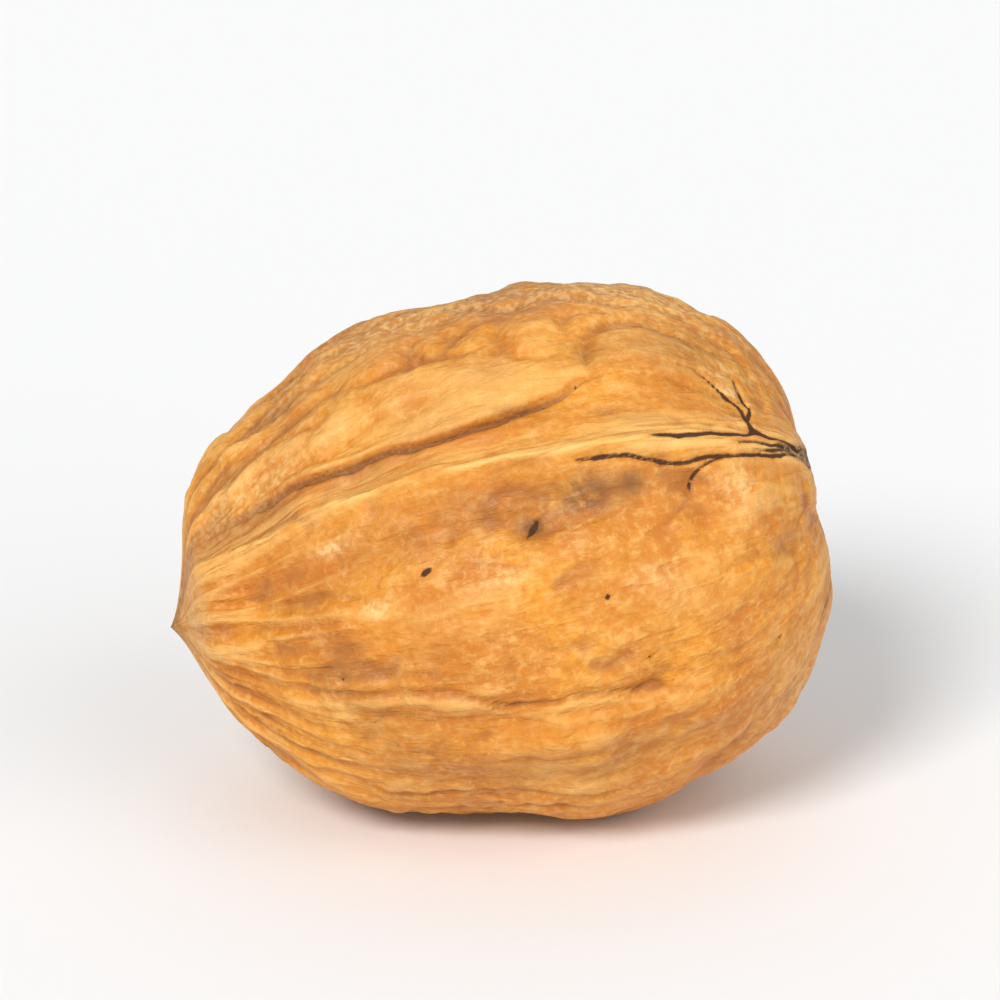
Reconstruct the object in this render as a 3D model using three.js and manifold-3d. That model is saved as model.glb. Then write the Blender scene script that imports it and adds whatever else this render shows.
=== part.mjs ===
// A whole dried walnut in its shell, lying on its side on a small flat spot.
//
// The shell is one closed solid. It starts as a unit sphere whose poles are the tip and the stem end, and
// every vertex is moved onto the nut by two numbers: the station u, which runs from 0 at the tip to 1 at the
// stem end, and the bearing phi, the angle about the long axis measured from the near seam.
//
// Millimetres, +Z up. The long axis lies in the XZ plane, with the tip towards -X and dipping a little.
// The origin is the middle of the nut's footprint box, on the surface that it rests on.

import * as THREE from 'three';
import { mergeVertices } from 'three/addons/utils/BufferGeometryUtils.js';
import Module from 'manifold-3d';

// Driving dimensions of the nut.
const BODY_LENGTH = 40.6; // tip to stem end, without the beak
const BODY_RADIUS = 16.75; // mean radius at the fullest station
const TIP_FULLNESS = 0.53; // exponent of the meridian at the tip: 0.5 is round, 1 is a cone
const STEM_FULLNESS = 0.38; // exponent of the meridian at the stem end: lower is blunter
const SEAM_OVAL = 0.012; // how much wider the nut is across its seams than across its cheeks

// How the nut lies.
const SEAM_RISE = 42; // degrees from level up to the near seam, which faces -Y
const TIP_DIP = 11.5; // degrees that the tip's end of the long axis dips
const FLAT_DEPTH = 0.4; // how deep the resting spot cuts into the belly

// The beak at the tip and the dimple at the stem end.
const BEAK = { height: 1.3, spread: 1.8, lift: 0.8, reach: 0.05 };
const STEM_DIMPLE = { depth: 1.1, spread: 4.2 };

// The welt along each seam: a broad swelling with a narrow crest, and a furrow on either side.
const WELT = { rise: 0.5, spread: 2.2 };
const CREST = { rise: 0.3, spread: 0.8 };
const FURROW = { depth: 0.42, offset: 3.7, spread: 1.6 };

// Radius about the long axis at which seams and folds have died away, and at which they are full.
const END_FADE = { gone: 0.6, full: 5.5 };

// Long folds of the shell that run from tip to stem end beside the seams.
// bearing in degrees, from and to as stations, rise and spread in millimetres, drift in degrees over the run.
const FOLDS = [
  { bearing: 14, from: 0.05, to: 0.66, rise: 0.45, spread: 1.6, drift: 6 },
  { bearing: -57, from: 0.1, to: 0.9, rise: -0.35, spread: 1.2, drift: 2 },
  { bearing: -64, from: 0.12, to: 0.84, rise: 0.35, spread: 2.0, drift: 0 },
  { bearing: -80, from: 0.1, to: 0.85, rise: -0.3, spread: 1.3, drift: 4 },
  { bearing: 62, from: 0.08, to: 0.8, rise: -0.3, spread: 1.6, drift: -6 },
  { bearing: 96, from: 0.1, to: 0.9, rise: 0.3, spread: 2.0, drift: 5 },
  { bearing: 132, from: 0.12, to: 0.85, rise: -0.35, spread: 1.5, drift: -5 },
  { bearing: 156, from: 0.1, to: 0.7, rise: 0.35, spread: 1.7, drift: 4 },
  { bearing: -150, from: 0.06, to: 0.75, rise: 0.4, spread: 1.7, drift: -5 },
  { bearing: -122, from: 0.15, to: 0.9, rise: -0.3, spread: 1.4, drift: 3 },
  { bearing: -36, from: 0.88, to: 1.04, rise: -0.75, spread: 1.1, drift: 4 },
  { bearing: 48, from: 0.8, to: 1.02, rise: -0.45, spread: 1.1, drift: -6 },
  { bearing: 140, from: 0.8, to: 1.02, rise: -0.5, spread: 1.1, drift: 6 },
];

// Broad lobes and hollows: station, bearing in degrees, rise, and half widths along and around in millimetres.
const LOBES = [
  { station: 0.03, bearing: 66, rise: 2, along: 3.5, around: 8 },
  { station: 0.26, bearing: 77, rise: 2.1, along: 9, around: 8 },
  { station: 0.03, bearing: -100, rise: 0.5, along: 3, around: 6 },
  { station: 0.16, bearing: -108, rise: 0.7, along: 6, around: 9 },
  { station: 0.88, bearing: -88, rise: -0.35, along: 5, around: 8 },
  { station: 0.58, bearing: -112, rise: 0.45, along: 4, around: 7 },
  { station: 0.38, bearing: -112, rise: -0.45, along: 4, around: 5 },
  { station: 0.94, bearing: 20, rise: -0.3, along: 4, around: 6 },
  { station: 0.52, bearing: -13, rise: -0.45, along: 8, around: 2.6 },
  { station: 0.7, bearing: 24, rise: -0.35, along: 5, around: 3.5 },
  { station: 0.45, bearing: 40, rise: 0.3, along: 6, around: 6 },
  { station: 0.4, bearing: 120, rise: 0.4, along: 8, around: 7 },
  { station: 0.75, bearing: 165, rise: -0.4, along: 6, around: 4 },
];

// Fineness of the solid, and how much closer its meridians stand at the two seams.
const AROUND = 84;
const ALONG = 46;
const SEAM_CROWDING = 0.5;

const radians = THREE.MathUtils.degToRad;
const bell = (distance, spread) => Math.exp(-((distance / spread) ** 2));
const ease = (value, from, to) => THREE.MathUtils.smoothstep(value, from, to);

// The angle from one bearing to another, between -pi and pi.
const turn = (angle) => Math.atan2(Math.sin(angle), Math.cos(angle));

// Girth at a station as a share of the fullest: u^a (1-u)^b, scaled so that its peak is 1.
function girth(u) {
  const fullest = TIP_FULLNESS / (TIP_FULLNESS + STEM_FULLNESS);
  return (u / fullest) ** TIP_FULLNESS * ((1 - u) / (1 - fullest)) ** STEM_FULLNESS;
}

// The near seam bows a few degrees off its meridian: up behind the tip and down at the stem end.
function seamBow(u) {
  return radians(3) * Math.cos(Math.PI * (u - 0.15) * 1.25);
}

// Height of one seam's welt, crest and furrows at an arc distance from the seam.
function seamRelief(arc) {
  const welt = WELT.rise * bell(arc, WELT.spread) + CREST.rise * bell(arc, CREST.spread);
  const furrow = FURROW.depth * bell(Math.abs(arc) - FURROW.offset, FURROW.spread);
  return welt - furrow;
}

// Height of a fold: a ridge or groove along a meridian that fades in and out at its ends.
function foldRelief(fold, u, phi, radius) {
  const run = (u - fold.from) / (fold.to - fold.from);
  const along = ease(run, 0, 0.25) * (1 - ease(run, 0.75, 1));
  const line = radians(fold.bearing + fold.drift * (run - 0.5));
  return fold.rise * along * bell(turn(phi - line) * radius, fold.spread);
}

// Height of a lobe: a bell over the distances along and around the nut.
function lobeRelief(lobe, u, phi, radius) {
  const along = bell((u - lobe.station) * BODY_LENGTH, lobe.along);
  const around = bell(turn(phi - radians(lobe.bearing)) * radius, lobe.around);
  return lobe.rise * along * around;
}

// Everything that stands out of, or sinks into, the smooth body, in millimetres. Seams and folds die away
// over the last few millimetres before the tip and the stem end, where they would crowd together.
function relief(u, phi, radius) {
  const ends = ease(radius, END_FADE.gone, END_FADE.full);
  const nearSeam = seamRelief(turn(phi - seamBow(u)) * radius);
  const farSeam = seamRelief(turn(phi - Math.PI + seamBow(u)) * radius);
  const folds = FOLDS.reduce((sum, fold) => sum + foldRelief(fold, u, phi, radius), 0);
  const lobes = LOBES.reduce((sum, lobe) => sum + lobeRelief(lobe, u, phi, radius), 0);
  return ends * (nearSeam + farSeam + folds) + lobes * ease(radius, 0, END_FADE.full);
}

// The point of the shell at station u and bearing phi, with X along the nut, and -Y at the near seam.
function shellPoint(u, phi) {
  const mean = BODY_RADIUS * girth(u) * (1 + SEAM_OVAL * Math.cos(2 * phi));
  const radius = Math.max(0, mean + relief(u, phi, mean));
  const beak = u < 0.5 ? BEAK.height * Math.exp(-radius / BEAK.spread) : 0;
  const dimple = u > 0.5 ? STEM_DIMPLE.depth * bell(radius, STEM_DIMPLE.spread) : 0;
  const lift = BEAK.lift * Math.exp(-u / BEAK.reach);
  return new THREE.Vector3(
    BODY_LENGTH * (u - 0.5) - beak - dimple,
    -radius * Math.cos(phi),
    radius * Math.sin(phi) + lift,
  );
}

// The smooth sphere grid, moved onto the shell, then rolled and tipped to the way the nut lies.
function shellGeometry() {
  const geometry = new THREE.SphereGeometry(1, AROUND, ALONG);
  const places = geometry.getAttribute('position');
  for (let i = 0; i < places.count; i += 1) {
    const direction = new THREE.Vector3().fromBufferAttribute(places, i);
    const u = (1 - THREE.MathUtils.clamp(direction.y, -1, 1)) / 2;
    const even = Math.atan2(direction.x, direction.z);
    const phi = even - (SEAM_CROWDING / 2) * Math.sin(2 * even);
    const point = shellPoint(u, phi);
    places.setXYZ(i, point.x, point.y, point.z);
  }
  const roll = new THREE.Matrix4().makeRotationX(-radians(SEAM_RISE));
  const dip = new THREE.Matrix4().makeRotationY(-radians(TIP_DIP));
  geometry.applyMatrix4(dip.multiply(roll));
  geometry.deleteAttribute('normal');
  geometry.deleteAttribute('uv');
  return mergeVertices(geometry, 1e-4);
}

// A closed geometry as a manifold-3d solid.
function toSolid(wasm, geometry) {
  const mesh = new wasm.Mesh({
    numProp: 3,
    vertProperties: Float32Array.from(geometry.getAttribute('position').array),
    triVerts: Uint32Array.from(geometry.getIndex().array),
  });
  return new wasm.Manifold(mesh);
}

// A manifold-3d solid back as a three.js geometry.
function toGeometry(solid) {
  const mesh = solid.getMesh();
  const geometry = new THREE.BufferGeometry();
  geometry.setAttribute('position', new THREE.BufferAttribute(mesh.vertProperties, 3));
  geometry.setIndex(new THREE.BufferAttribute(mesh.triVerts, 1));
  return geometry;
}

// The shell with its belly cut flat, set down on the surface with its footprint box about the origin.
function restingGeometry(wasm) {
  const shell = shellGeometry();
  shell.computeBoundingBox();
  const floor = shell.boundingBox.min.z + FLAT_DEPTH;
  const slab = new THREE.BoxGeometry(3 * BODY_LENGTH, 3 * BODY_LENGTH, BODY_LENGTH);
  slab.translate(0, 0, floor - BODY_LENGTH / 2);
  slab.deleteAttribute('normal');
  slab.deleteAttribute('uv');
  const rested = toGeometry(toSolid(wasm, shell).subtract(toSolid(wasm, mergeVertices(slab))));
  rested.computeBoundingBox();
  const { min, max } = rested.boundingBox;
  rested.translate(-(min.x + max.x) / 2, -(min.y + max.y) / 2, -floor);
  rested.computeVertexNormals();
  return rested;
}

const wasm = await Module();
wasm.setup();

const shellMaterial = new THREE.MeshStandardMaterial({ color: '#c98a49', roughness: 0.62, metalness: 0 });
const walnut = new THREE.Mesh(restingGeometry(wasm), shellMaterial);
walnut.name = 'walnut';

const nut = new THREE.Group();
nut.add(walnut);

export default nut;
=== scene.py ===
"""Looks of one whole dried walnut in its shell, lying on its side on a pale studio floor.

The shell is one closed surface of two parameters: the distance along the shell from the tip, and the
bearing, the angle about the long axis measured from the near seam. A smooth body of revolution carries, one
on top of the other, the seams, folds and lobes that the solid model has, then the creases, wrinkles and
pleats, and last the clefts of torn cork at the stem end. Shapes are worked out in millimetres, in the nut's
own axes: X along the nut from the tip to the stem end, -Y towards the near seam. The finished mesh is in
metres, as the nut lies.
"""

import itertools
import logging
import math
from dataclasses import dataclass, field
from enum import Enum

import bpy
import numpy as np
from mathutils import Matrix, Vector


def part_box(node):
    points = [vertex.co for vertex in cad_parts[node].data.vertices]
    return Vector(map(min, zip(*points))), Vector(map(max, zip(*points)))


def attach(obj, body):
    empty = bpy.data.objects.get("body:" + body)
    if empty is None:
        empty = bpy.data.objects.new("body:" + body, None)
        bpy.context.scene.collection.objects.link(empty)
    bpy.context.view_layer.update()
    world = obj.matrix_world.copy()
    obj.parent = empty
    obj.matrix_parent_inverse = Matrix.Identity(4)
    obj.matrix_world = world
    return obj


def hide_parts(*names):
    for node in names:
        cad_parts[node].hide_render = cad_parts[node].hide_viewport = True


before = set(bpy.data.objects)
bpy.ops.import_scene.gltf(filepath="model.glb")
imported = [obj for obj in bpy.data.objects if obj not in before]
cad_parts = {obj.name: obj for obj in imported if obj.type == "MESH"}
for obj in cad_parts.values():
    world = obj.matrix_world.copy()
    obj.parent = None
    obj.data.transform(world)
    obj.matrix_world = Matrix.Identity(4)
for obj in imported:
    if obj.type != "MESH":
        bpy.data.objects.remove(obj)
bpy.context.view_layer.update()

log = logging.getLogger("walnut")

MILLIMETRE = 0.001  # one millimetre in metres
FULL_TURN = 2.0 * math.pi
CREASE_STEPS = 12  # places along a crease for each span between two of its points
RENT_STEPS = 9  # the same for a rent
RENT_MARGIN = 4.0  # millimetres past a rent's box where its gap is still worked out
MERIDIAN_STEPS = 8001  # places along the meridian that rows are spread over
TIP_CROWDING = (0.45, 6.0)  # how much closer rows stand at the tip, and over how many millimetres
STEM_CROWDING = (0.7, 17.0)  # the same at the stem end
DRUM_RADIUS = 16.0  # radius in millimetres of the drum that stretched noise is read from

Array = np.ndarray
Colour = tuple[float, float, float]


# ---- formulas


def bell(distance: Array, spread: float) -> Array:
    """A bell curve, exp(-(distance / spread)^2): 1 at no distance, and 0.37 at one spread."""
    return np.exp(-((distance / spread) ** 2))


def ease(value: Array, low: float, high: float) -> Array:
    """A smooth step from 0 at low to 1 at high: 3 t^2 - 2 t^3 of the clipped share t of the way."""
    share = np.clip((value - low) / (high - low), 0.0, 1.0)
    return share * share * (3.0 - 2.0 * share)


def faded(run: Array, share: float) -> Array:
    """A smooth rise from 0 to 1 over the first share of a run, and back to 0 over its last share."""
    return ease(run, 0, share) * (1 - ease(run, 1 - share, 1))


def turn(angle: Array) -> Array:
    """The same angle in radians, between minus pi and pi: the angle of its own cosine and sine."""
    return np.arctan2(np.sin(angle), np.cos(angle))


def smooth_path(points: Array, steps: int) -> Array:
    """A Catmull-Rom curve through given points, one row a point, with any number of columns.

    Args:
        points: The points that the curve runs through.
        steps: How many places each span between two points gets.

    Returns:
        Places along the curve, from the first point to the last.
    """
    padded = np.vstack([2 * points[0] - points[1], points, 2 * points[-1] - points[-2]])
    before, start, end, after = padded[:-3], padded[1:-2], padded[2:-1], padded[3:]
    share = np.linspace(0.0, 1.0, steps, endpoint=False)[:, None, None]
    curve = 0.5 * (
        2 * start
        + (end - before) * share
        + (2 * before - 5 * start + 4 * end - after) * share**2
        + (3 * start - before - 3 * end + after) * share**3
    )
    return np.vstack([curve.transpose(1, 0, 2).reshape(-1, points.shape[1]), points[-1:]])


class LatticeNoise:
    """Smooth random relief over space, from random slopes at the corners of a cubic lattice."""

    SLOPES = 256  # how many slopes are drawn, a power of two
    GAIN = 1.7  # brings the height to about -1 to 1
    LAYER_SHIFT = 17.3  # cells between one layer and the next, so that their corners don't line up

    def __init__(self, seed: int) -> None:
        """Draws the slopes.

        Args:
            seed: Which noise this is. The same seed always gives the same relief.
        """
        draws = np.random.default_rng(seed)
        slopes = draws.normal(size=(self.SLOPES, 3))
        self.slopes = slopes / np.linalg.norm(slopes, axis=1, keepdims=True)
        self.order = draws.permutation(self.SLOPES)

    def at(self, places: Array) -> Array:
        """Height of the noise, about -1 to 1: each corner's slope times the offset from it, blended smoothly.

        Args:
            places: Points in lattice cells, with the three coordinates last.

        Returns:
            One height for each point.
        """
        cell = np.floor(places).astype(np.int64)
        local = places - cell
        blend = local**3 * (local * (local * 6 - 15) + 10)
        total = np.zeros(places.shape[:-1])
        for corner in itertools.product((0, 1), repeat=3):
            index = 0
            for axis in range(3):
                index = self.order[(index + cell[..., axis] + corner[axis]) & (self.SLOPES - 1)]
            height = (self.slopes[index] * (local - corner)).sum(-1)
            weight = np.where(corner, blend, 1 - blend).prod(-1)
            total += height * weight
        return self.GAIN * total

    def layered(self, places: Array, layers: int, keep: float = 0.5) -> Array:
        """Sum of layers of noise, each twice as fine as the last and keep times as high."""
        return sum(keep**k * self.at(places * 2**k + self.LAYER_SHIFT * k) for k in range(layers))

    def veins(self, places: Array, sharpness: float) -> Array:
        """Narrow lines where the noise crosses zero: (1 - |noise|) to the power of sharpness."""
        return np.clip(1.0 - np.abs(self.at(places)), 0.0, 1.0) ** sharpness


# ---- the body


@dataclass(frozen=True)
class Fold:
    """A long ridge or groove that the solid model has too.

    Attributes:
        bearing: Bearing of its middle, in degrees.
        start: Station where it fades in, from 0 at the tip to 1 at the stem end.
        end: Station where it has faded out.
        rise: Height in millimetres, negative for a groove.
        spread: Half width in millimetres.
        drift: How far its bearing turns over its length, in degrees.
    """

    bearing: float
    start: float
    end: float
    rise: float
    spread: float
    drift: float

    def relief(self, grid: "ShellGrid") -> Array:
        """Height of the fold: a bell across a slowly turning meridian, faded at its ends.

        Args:
            grid: The shell's grid.

        Returns:
            Heights in millimetres.
        """
        run = (grid.station - self.start) / (self.end - self.start)
        line = np.radians(self.bearing + self.drift * (run - 0.5))
        return self.rise * faded(run, 0.25) * bell(turn(grid.bearing - line) * grid.mean, self.spread)


@dataclass(frozen=True)
class Lobe:
    """A broad swelling or hollow that the solid model has too.

    Attributes:
        station: Where its middle is along the nut, from 0 to 1.
        bearing: Bearing of its middle, in degrees.
        rise: Height in millimetres, negative for a hollow.
        along: Half width along the nut in millimetres.
        around: Half width around the nut in millimetres.
    """

    station: float
    bearing: float
    rise: float
    along: float
    around: float

    def relief(self, grid: "ShellGrid", length: float) -> Array:
        """Height of the lobe: a bell along the nut times a bell around it.

        Args:
            grid: The shell's grid.
            length: Length of the nut without its beak.

        Returns:
            Heights in millimetres.
        """
        around = turn(grid.bearing - math.radians(self.bearing)) * grid.mean
        along = (grid.station - self.station) * length
        return self.rise * bell(along, self.along) * bell(around, self.around)


@dataclass(frozen=True)
class NutBody:
    """The smooth body, its two seams, and the folds and lobes of the solid model. Millimetres.

    Attributes:
        length: Tip to stem end without the beak.
        radius: Mean radius at the fullest station.
        tip_fullness: Exponent of the meridian at the tip.
        stem_fullness: Exponent of the meridian at the stem end.
        seam_oval: How much wider the nut is across its seams than across its cheeks.
        beak: Height, spread, lift and reach of the beak at the tip.
        dimple: Depth and spread of the dimple at the stem end.
        welt: Rise and spread of the broad swelling along a seam.
        crest: Rise and spread of the narrow crest on it.
        furrow: Depth, offset and spread of the furrow on either side.
        bow: How far a seam bows off its meridian, in degrees.
        end_fade: Radii at which seams and folds have died away, and at which they are full.
    """

    length: float = 40.6
    radius: float = 16.75
    tip_fullness: float = 0.53
    stem_fullness: float = 0.38
    seam_oval: float = 0.012
    beak: tuple[float, float, float, float] = (1.3, 1.8, 0.8, 0.05)
    dimple: tuple[float, float] = (1.1, 4.2)
    welt: tuple[float, float] = (0.5, 2.2)
    crest: tuple[float, float] = (0.3, 0.8)
    furrow: tuple[float, float, float] = (0.42, 3.7, 1.6)
    bow: float = 3.0
    end_fade: tuple[float, float] = (0.6, 5.5)
    folds: tuple[Fold, ...] = (
        Fold(14, 0.05, 0.66, 0.45, 1.6, 6),
        Fold(-57, 0.1, 0.9, -0.35, 1.2, 2),
        Fold(-64, 0.12, 0.84, 0.35, 2.0, 0),
        Fold(-80, 0.1, 0.85, -0.3, 1.3, 4),
        Fold(62, 0.08, 0.8, -0.3, 1.6, -6),
        Fold(96, 0.1, 0.9, 0.3, 2.0, 5),
        Fold(132, 0.12, 0.85, -0.35, 1.5, -5),
        Fold(156, 0.1, 0.7, 0.35, 1.7, 4),
        Fold(-150, 0.06, 0.75, 0.4, 1.7, -5),
        Fold(-122, 0.15, 0.9, -0.3, 1.4, 3),
        Fold(-36, 0.88, 1.04, -0.75, 1.1, 4),
        Fold(48, 0.8, 1.02, -0.45, 1.1, -6),
        Fold(140, 0.8, 1.02, -0.5, 1.1, 6),
    )
    lobes: tuple[Lobe, ...] = (
        Lobe(0.03, 66, 2.0, 3.5, 8),
        Lobe(0.26, 77, 2.1, 9, 8),
        Lobe(0.03, -100, 0.5, 3, 6),
        Lobe(0.16, -108, 0.7, 6, 9),
        Lobe(0.88, -88, -0.35, 5, 8),
        Lobe(0.58, -112, 0.45, 4, 7),
        Lobe(0.38, -112, -0.45, 4, 5),
        Lobe(0.94, 20, -0.3, 4, 6),
        Lobe(0.52, -13, -0.45, 8, 2.6),
        Lobe(0.7, 24, -0.35, 5, 3.5),
        Lobe(0.45, 40, 0.3, 6, 6),
        Lobe(0.4, 120, 0.4, 8, 7),
        Lobe(0.75, 165, -0.4, 6, 4),
    )

    def mean_radius(self, station: Array, bearing: Array) -> Array:
        """Radius of the smooth body: u^a (1-u)^b scaled to a peak of 1, times the radius, times the oval.

        Args:
            station: 0 at the tip to 1 at the stem end.
            bearing: Bearings in radians.

        Returns:
            Radii in millimetres.
        """
        fullest = self.tip_fullness / (self.tip_fullness + self.stem_fullness)
        girth = (station / fullest) ** self.tip_fullness
        girth = girth * ((1 - station) / (1 - fullest)) ** self.stem_fullness
        return self.radius * girth * (1 + self.seam_oval * np.cos(2 * bearing))

    def seam_bow(self, station: Array) -> Array:
        """How far a seam's crest lies off its meridian, in radians: a cosine along the nut."""
        return math.radians(self.bow) * np.cos(math.pi * (station - 0.15) * 1.25)

    def seam_relief(self, arc: Array) -> Array:
        """Height of one seam's welt, crest and furrows: bells of the arc distance from the crest.

        Args:
            arc: Distance from the crest, around the nut.

        Returns:
            Heights in millimetres.
        """
        depth, offset, spread = self.furrow
        raised = self.welt[0] * bell(arc, self.welt[1]) + self.crest[0] * bell(arc, self.crest[1])
        return raised - depth * bell(np.abs(arc) - offset, spread)

    def relief(self, grid: "ShellGrid") -> Array:
        """Everything that the solid model adds to the smooth body.

        Args:
            grid: The shell's grid.

        Returns:
            Heights in millimetres.
        """
        bow = self.seam_bow(grid.station)
        seams = self.seam_relief(turn(grid.bearing - bow) * grid.mean)
        seams = seams + self.seam_relief(turn(grid.bearing - math.pi + bow) * grid.mean)
        folds = sum(fold.relief(grid) for fold in self.folds)
        lobes = sum(lobe.relief(grid, self.length) for lobe in self.lobes)
        gone, full = self.end_fade
        return ease(grid.mean, gone, full) * (seams + folds) + lobes * ease(grid.mean, 0, full)

    def place(self, station: Array, bearing: Array, radius: Array) -> Array:
        """Points of the shell: round the long axis, drawn out to the beak and sunk into the dimple.

        Args:
            station: 0 at the tip to 1 at the stem end.
            bearing: Bearings in radians.
            radius: Distance of each point from the long axis.

        Returns:
            Points in the nut's own axes, with the three coordinates last.
        """
        height, spread, lift, reach = self.beak
        beak = np.where(station < 0.5, height * np.exp(-radius / spread), 0.0)
        dimple = np.where(station > 0.5, self.dimple[0] * bell(radius, self.dimple[1]), 0.0)
        raised = lift * np.exp(-station / reach)
        x = self.length * (station - 0.5) - beak - dimple
        return np.stack([x, -radius * np.cos(bearing), radius * np.sin(bearing) + raised], -1)


@dataclass(frozen=True)
class Lie:
    """How the nut lies.

    Attributes:
        seam_rise: Degrees from level up to the near seam.
        tip_dip: Degrees that the tip's end of the long axis dips.
    """

    seam_rise: float = 42.0
    tip_dip: float = 11.5

    def turned(self, places: Array) -> Array:
        """Points rolled about the long axis, then tipped about Y.

        Args:
            places: Points in the nut's own axes.

        Returns:
            The same points as the nut lies, still about the middle of its long axis.
        """
        roll, dip = math.radians(self.seam_rise), math.radians(self.tip_dip)
        x, y, z = np.moveaxis(places, -1, 0)
        y, z = y * math.cos(roll) + z * math.sin(roll), z * math.cos(roll) - y * math.sin(roll)
        x, z = x * math.cos(dip) - z * math.sin(dip), x * math.sin(dip) + z * math.cos(dip)
        return np.stack([x, y, z], -1)


@dataclass(frozen=True)
class ShellGrid:
    """Where the vertices of the shell stand, row by row from the tip to the stem end.

    Attributes:
        along: Distance along the shell from the tip, one for each row, as a column.
        station: The same places as stations.
        bearing: Bearings in radians, as a row.
        mean: Radius of the smooth body at each vertex.
        smooth: Points of the smooth body, without any relief.
        whole: The length of a meridian.
    """

    along: Array
    station: Array
    bearing: Array
    mean: Array
    smooth: Array
    whole: float

    @classmethod
    def over(cls, body: NutBody, rows: int, columns: int, seam_crowding: float) -> "ShellGrid":
        """Spreads rows along a meridian, closer at both ends, and columns around it, closer at the seams.

        Rows stand at even steps of the running sum of 1 / spacing, and the spacing is a bell dip at each end.
        Columns stand at t - k/2 sin 2t for even steps of t, where k is the crowding.

        Args:
            body: The body that the grid covers.
            rows: How many rings of vertices there are between the two end points.
            columns: How many vertices a ring has.
            seam_crowding: How much closer columns stand at the seams, from 0 to 1.

        Returns:
            The grid.
        """
        station = (1 - np.cos(np.linspace(0, math.pi, MERIDIAN_STEPS))) / 2
        radius = body.mean_radius(station, np.full_like(station, math.pi / 4))
        line = body.place(station, np.zeros_like(station), radius)[:, :2]
        along = np.r_[0, np.cumsum(np.linalg.norm(np.diff(line, axis=0), axis=1))]
        whole = float(along[-1])
        (tip, tip_reach), (stem, stem_reach) = TIP_CROWDING, STEM_CROWDING
        spacing = 1 - tip * bell(along, tip_reach) - stem * bell(whole - along, stem_reach)
        count = np.r_[0, np.cumsum(np.diff(along) / (spacing[1:] + spacing[:-1]) * 2)]
        wanted = count[-1] * (np.arange(rows) + 0.5) / rows
        ring = np.interp(wanted, count, along)
        even = np.linspace(-math.pi, math.pi, columns, endpoint=False)
        bearing = (even - seam_crowding / 2 * np.sin(2 * even))[None, :]
        stations = np.interp(ring, along, station)[:, None]
        mean = body.mean_radius(stations, bearing)
        smooth = body.place(stations, bearing, mean)
        return cls(ring[:, None], stations, bearing, mean, smooth, whole)

    def station_at(self, along: Array) -> Array:
        """Stations of places along the shell, which are given as distances from the tip."""
        return np.interp(along, np.r_[0, self.along[:, 0], self.whole], np.r_[0, self.station[:, 0], 1])

    def stretched(self, along: float, around: float) -> Array:
        """Coordinates for noise that runs with the shell: along the meridian, and around a drum.

        A bearing stands for a point of a drum as wide as the nut, so what runs along the nut narrows to a fan
        at either end.

        Args:
            along: Length of one cell along the shell in millimetres.
            around: Width of one cell around the fullest part in millimetres.

        Returns:
            Points in cells, with the three coordinates last.
        """
        drum = DRUM_RADIUS / around
        along_cells = np.broadcast_to(self.along / along, self.mean.shape)
        bearing = np.broadcast_to(self.bearing, self.mean.shape)
        return np.stack([along_cells, drum * np.cos(bearing), drum * np.sin(bearing)], -1)


# ---- marks on the shell


class Lip(Enum):
    """Which side of a crease stands up."""

    UPPER = 1.0  # the side of the larger bearing
    LOWER = -1.0  # the side of the smaller bearing


@dataclass(frozen=True)
class Crease:
    """A narrow groove that runs along the shell, with one raised lip.

    Attributes:
        path: Points of (millimetres along the shell from the tip, bearing in degrees), tip first.
        depth: Depth of the groove.
        width: Half width of the groove.
        rise: Height of the lip.
        reach: How far the lip takes to fall away.
        lip: Which side the lip is on.
        darkest: Depth from which a groove's painted shade is at its full.
    """

    path: tuple[tuple[float, float], ...]
    depth: float
    width: float
    rise: float
    reach: float
    lip: Lip
    darkest: float = 0.4

    def relief(self, grid: ShellGrid, wander: Array) -> tuple[Array, Array]:
        """Height of the crease: minus a bell in the groove, plus a lip that jumps up beside it and decays.

        Args:
            grid: The shell's grid.
            wander: A small sideways shift at each vertex, in millimetres, that unsettles the line.

        Returns:
            The height, and how much painted shade the groove puts at each vertex, from 0 to 1.
        """
        curve = smooth_path(np.array(self.path, float), CREASE_STEPS)
        line = np.radians(np.interp(grid.along, curve[:, 0], curve[:, 1]))
        arc = turn(grid.bearing - line) * grid.mean + wander
        fade = faded((grid.along - curve[0, 0]) / (curve[-1, 0] - curve[0, 0]), 0.22)
        side = arc * self.lip.value
        lip = ease(side, 0, 2.2 * self.width) * np.exp(-np.clip(side, 0, None) / self.reach)
        groove = bell(arc, self.width)
        dark = min(1.0, self.depth / self.darkest)
        return fade * (self.rise * lip - self.depth * groove), fade * groove * dark


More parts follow.
